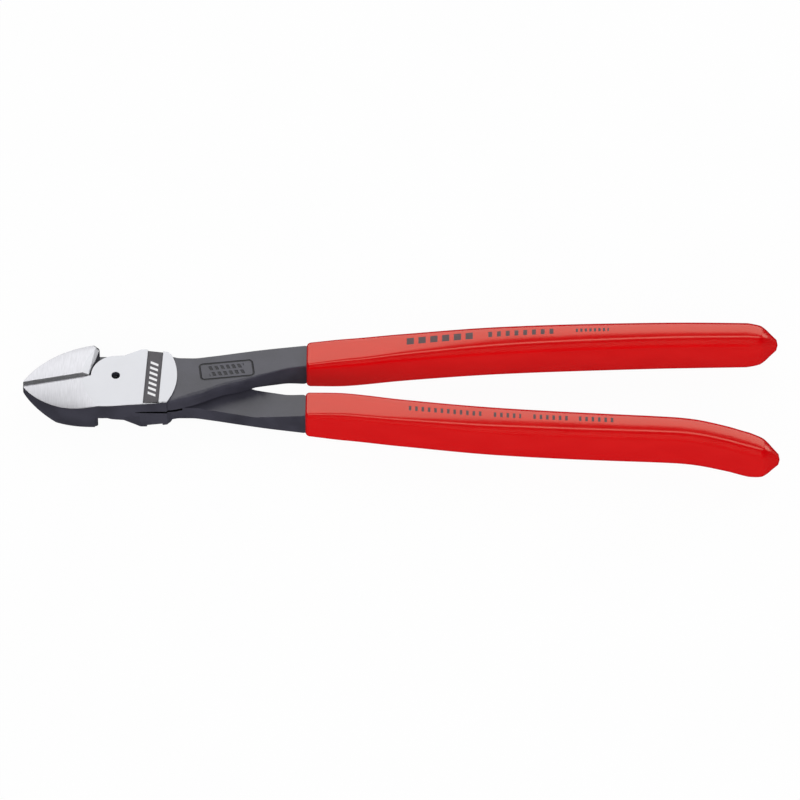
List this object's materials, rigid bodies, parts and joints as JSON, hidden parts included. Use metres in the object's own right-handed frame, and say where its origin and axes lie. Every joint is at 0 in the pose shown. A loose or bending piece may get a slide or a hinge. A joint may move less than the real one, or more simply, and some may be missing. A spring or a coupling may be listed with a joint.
{
  "type": "diagonal cutting pliers",
  "caption": "Long-handled side cutters: crossed forged levers on a flush lap joint, wedge-shaped bevelled jaws and slim dipped red grips, the lower curling outward.",
  "frame": {"origin": "on the joint axle, in the plane of the rear ground face, which is also the axle's rear end face", "axes": "+X from the axle along the closed tool towards the handles, +Y towards the front lever's handle, +Z from the rear ground face to the front one, along the axle"},
  "size_m": [0.25, 0.0551, 0.015],
  "materials": {
    "forged_steel": "black forged steel with a satin oxide skin; jaws and joint plate ground and polished bright",
    "ground_steel": "bright ground steel",
    "dipped_plastic": "glossy dipped soft vinyl"
  },
  "bodies": {
    "front_half": {"front_lever": "forged_steel", "joint_axle": "ground_steel", "upper_grip": "dipped_plastic"},
    "rear_half": {"rear_lever": "forged_steel", "lower_grip": "dipped_plastic"}
  },
  "joints": [
    {"name": "jaw_hinge", "type": "hinge", "parent": "front_half", "child": "rear_half", "pos_m": [0, 0, 0.0067], "axis": [0, 0, -1], "range_deg": [0, 58]}
  ]
}
